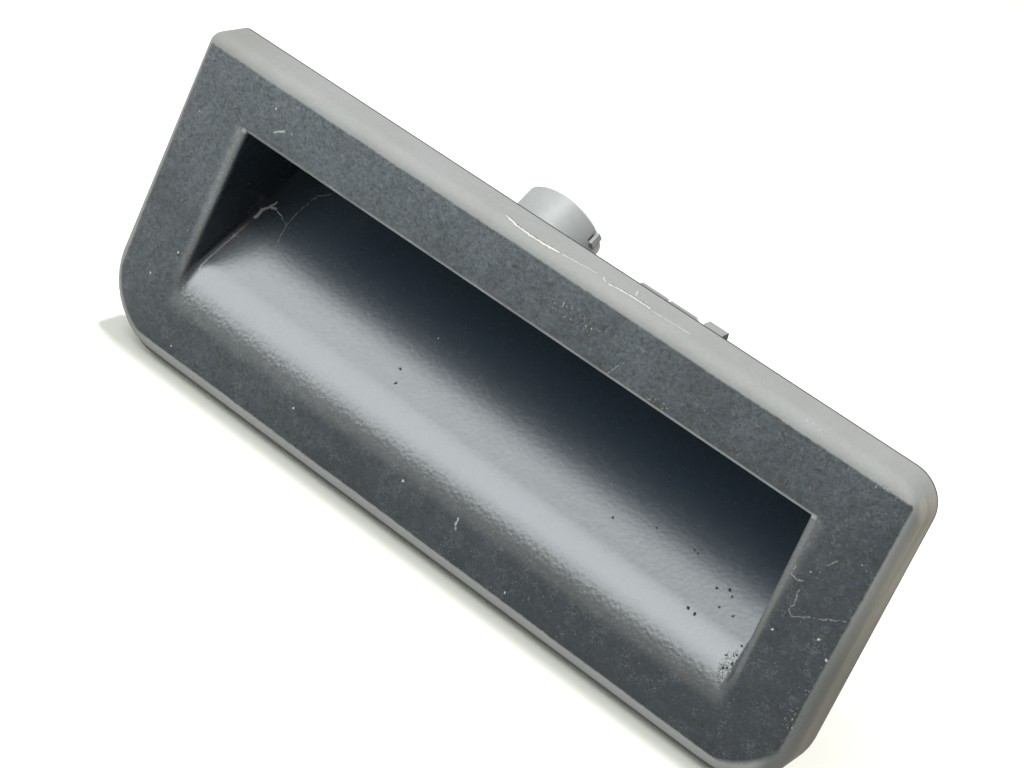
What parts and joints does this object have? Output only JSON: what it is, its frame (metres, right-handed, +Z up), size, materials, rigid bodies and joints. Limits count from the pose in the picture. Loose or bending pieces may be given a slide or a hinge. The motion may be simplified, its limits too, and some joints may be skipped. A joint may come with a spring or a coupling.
{
  "type": "tailgate handle",
  "caption": "Moulded vehicle tailgate handle with a finger pocket, a hinged release paddle under its top lip and a sealed switch module with a round connector shroud.",
  "frame": {"origin": "centre of the panel cut-out, in the plane where the bezel's rim seats", "axes": "+X along the handle, to the right as seen from outside; +Y into the tailgate; +Z up"},
  "size_m": [0.128, 0.0446, 0.052],
  "materials": {
    "bezel": "moulded, worn and dusty",
    "module_grey": "moulded",
    "foam": "closed-cell foam",
    "pad_rubber": "ribbed",
    "pin_steel": "drawn",
    "spring_steel": "drawn wire",
    "screw_steel": "zinc plated",
    "clip_steel": "stamped, dull",
    "silicone": "moulded",
    "switch_black": "moulded",
    "nylon": "natural",
    "contact_brass": "stamped"
  },
  "bodies": {
    "housing": {"handle_housing": "bezel", "panel_seal": "foam", "hinge_pin_left": "pin_steel", "hinge_pin_right": "pin_steel", "return_spring_left": "spring_steel", "return_spring_right": "spring_steel", "stop_buffer_left": "pad_rubber", "stop_buffer_right": "pad_rubber", "module_housing": "module_grey", "module_lid": "module_grey", "lid_seal": "silicone", "module_screw_left": "screw_steel", "module_screw_right": "screw_steel", "switch_case": "switch_black", "switch_cover": "switch_black", "switch_boot": "silicone", "terminal_common": "contact_brass", "terminal_signal": "contact_brass", "retaining_clip_top": "clip_steel", "retaining_clip_bottom_left": "clip_steel", "retaining_clip_bottom_right": "clip_steel"},
    "paddle": {"release_paddle": "bezel", "paddle_pad": "pad_rubber"},
    "plunger": {"switch_plunger": "nylon"},
    "blade": {"switch_blade": "contact_brass"}
  },
  "joints": [
    {"name": "paddle_hinge", "type": "hinge", "parent": "housing", "child": "paddle", "pos_m": [0, 0.021, 0.0143], "axis": [-1, 0, 0], "range_deg": [0, 3.5], "stiffness_Nm_per_rad": 0.3, "springref_deg": -11.46, "deforming": ["return_spring_left", "return_spring_right"]},
    {"name": "plunger_travel", "type": "slide", "parent": "housing", "child": "plunger", "axis": [0, 0, -1], "range_m": [0, 0.00055], "deforming": ["switch_boot"]},
    {"name": "blade_flex", "type": "hinge", "parent": "housing", "child": "blade", "pos_m": [0.0189, 0.0296, 0.00287], "axis": [0, -1, 0], "range_deg": [0, 6.4]}
  ],
  "couplings": [
    {"joint": "plunger_travel", "follows": "paddle_hinge", "m_per_rad": 0.0086},
    {"joint": "blade_flex", "follows": "paddle_hinge", "ratio": 1.7551}
  ]
}
